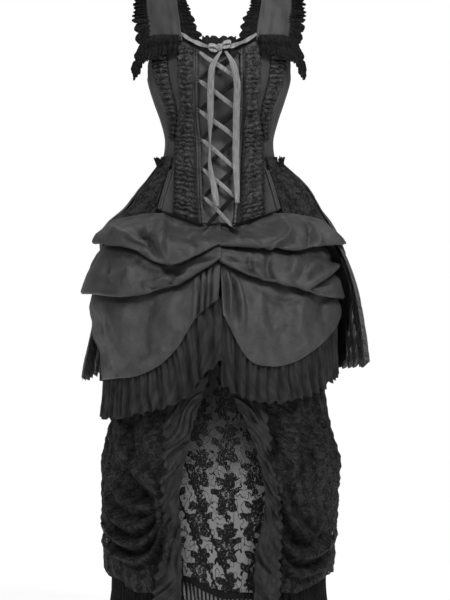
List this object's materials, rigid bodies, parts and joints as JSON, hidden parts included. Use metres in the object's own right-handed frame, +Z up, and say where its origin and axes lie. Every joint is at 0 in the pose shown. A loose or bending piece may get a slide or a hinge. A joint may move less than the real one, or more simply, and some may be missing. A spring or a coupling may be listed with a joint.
{
  "type": "bustle dress",
  "caption": "Black bustle dress with a ribbon-laced satin corset bodice, wide lace-edged straps, tiered taffeta swags over the hips and a long lace skirt open over a sheer front panel",
  "frame": {"origin": "the middle of the waist, level with its narrowest line, where the wearer's body holds the dress", "axes": "+Z up; the dress's front faces -Y; +X is the wearer's left side"},
  "size_m": [0.6464, 0.5893, 1.4972],
  "materials": {
    "black_satin": "black satin with a soft low sheen",
    "black_taffeta": "black taffeta, crisp, with a fine crosswise rib and a soft sheen",
    "black_lace": "black floral lace on a fine net, matte",
    "black_tulle": "black pleated tulle and organza, matte and slightly sheer",
    "grey_ribbon": "charcoal satin ribbon with a bright sheen"
  },
  "bodies": {
    "root": {"back_apron": "black_taffeta", "back_frill": "black_tulle", "back_puff": "black_taffeta", "bodice_back_left": "black_satin", "bodice_back_right": "black_satin", "bodice_front_left": "black_satin", "bodice_front_right": "black_satin", "bodice_side_left": "black_satin", "bodice_side_right": "black_satin", "boning_channel_left": "black_satin", "boning_channel_right": "black_satin", "bust_ruffle_left": "black_lace", "bust_ruffle_right": "black_lace", "front_border": "black_lace", "front_panel": "black_lace", "front_ruffle": "black_tulle", "hem_flounce_back": "black_tulle", "hem_flounce_left": "black_tulle", "hem_flounce_right": "black_tulle", "hip_basque_left": "black_lace", "hip_basque_right": "black_lace", "inner_lace_band_left": "black_lace", "inner_lace_band_right": "black_lace", "jabot_left": "black_taffeta", "jabot_right": "black_taffeta", "lacing_ribbon_left": "grey_ribbon", "lacing_ribbon_right": "grey_ribbon", "loop_tape_left": "black_satin", "loop_tape_right": "black_satin", "modesty_panel": "black_satin", "neck_ribbon_left": "grey_ribbon", "neck_ribbon_right": "grey_ribbon", "neckline_lace": "black_lace", "outer_lace_band_left": "black_lace", "outer_lace_band_right": "black_lace", "overskirt_back_left": "black_lace", "overskirt_back_right": "black_lace", "overskirt_left": "black_lace", "overskirt_right": "black_lace", "ribbon_knot": "grey_ribbon", "ribbon_tail_left": "grey_ribbon", "ribbon_tail_right": "grey_ribbon", "strap_lace_inner_left": "black_lace", "strap_lace_inner_right": "black_lace", "strap_lace_outer_left": "black_lace", "strap_lace_outer_right": "black_lace", "strap_left": "black_satin", "strap_right": "black_satin", "swag_frill_left": "black_tulle", "swag_frill_right": "black_tulle", "swag_lower_left": "black_taffeta", "swag_lower_right": "black_taffeta", "swag_middle_left": "black_taffeta", "swag_middle_right": "black_taffeta", "swag_upper_left": "black_taffeta", "swag_upper_right": "black_taffeta", "tulle_flounce": "black_tulle", "waist_frill_left": "black_lace", "waist_frill_right": "black_lace"}
  },
  "joints": []
}
